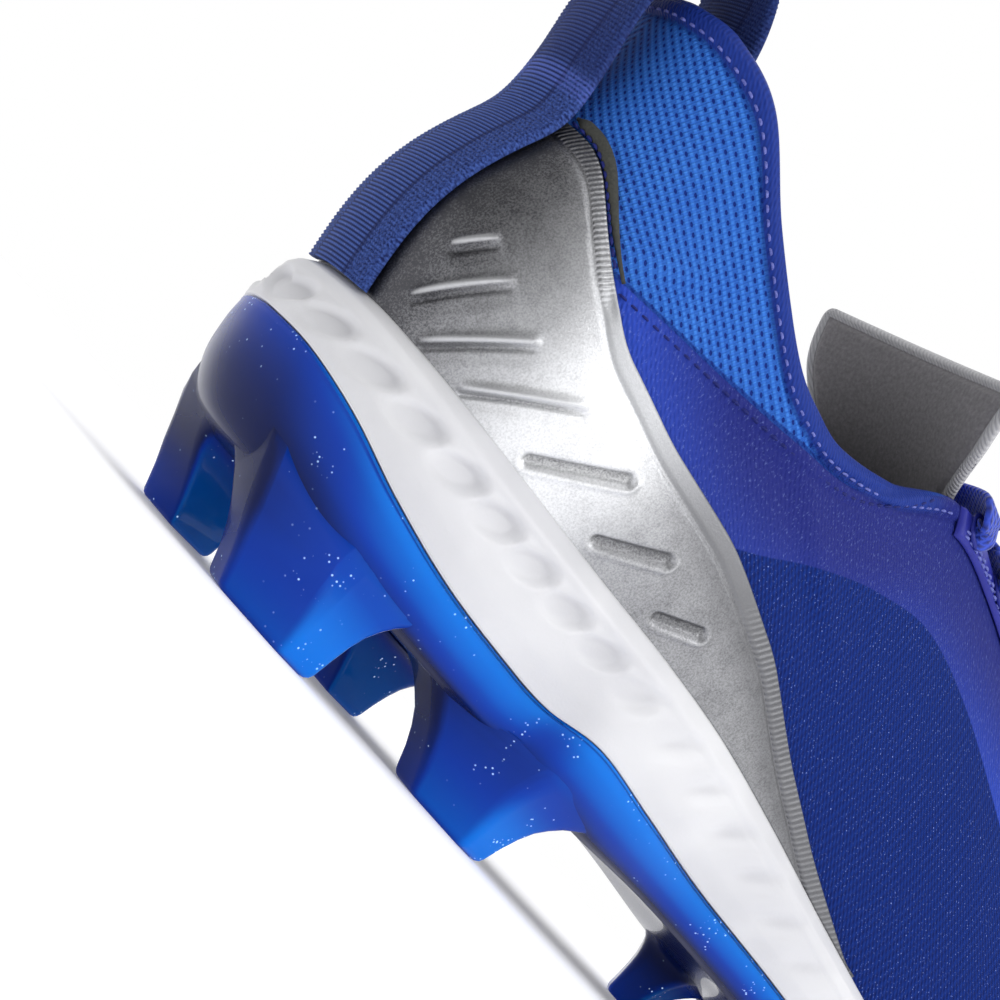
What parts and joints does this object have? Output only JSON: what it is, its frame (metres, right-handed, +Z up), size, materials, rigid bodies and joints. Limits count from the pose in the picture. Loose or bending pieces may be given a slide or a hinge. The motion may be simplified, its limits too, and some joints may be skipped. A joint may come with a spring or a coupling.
{
  "type": "softball cleat",
  "caption": "Right softball cleat: hollow laced upper with padded collar, silver heel counter and webbing pull loop, on a fluted foam midsole and a glossy studded outsole plate.",
  "frame": {"origin": "middle of the underside of the bounding box, on the plane of the stud tips", "axes": "+X to the outer side of this right shoe, +Y from heel to toe, +Z up"},
  "size_m": [0.0938, 0.2804, 0.1151],
  "materials": {
    "outsole_plastic": "glossy, deep blue with fine glitter",
    "midsole_foam": "matte white foam",
    "insole_cloth": "dark grey cloth",
    "upper_knit": "blue knit",
    "tongue_mesh": "blue mesh with grey lining",
    "counter_foil": "brushed silver film",
    "eyestay_film": "smooth violet-blue film",
    "webbing": "navy ribbed webbing",
    "lace_cord": "blue flat lace"
  },
  "bodies": {
    "root": {"outsole": "outsole_plastic", "midsole": "midsole_foam", "insole": "insole_cloth", "upper": "upper_knit", "tongue": "tongue_mesh", "heel_counter": "counter_foil", "eyestay": "eyestay_film", "pull_loop": "webbing", "laces": "lace_cord"}
  },
  "joints": []
}
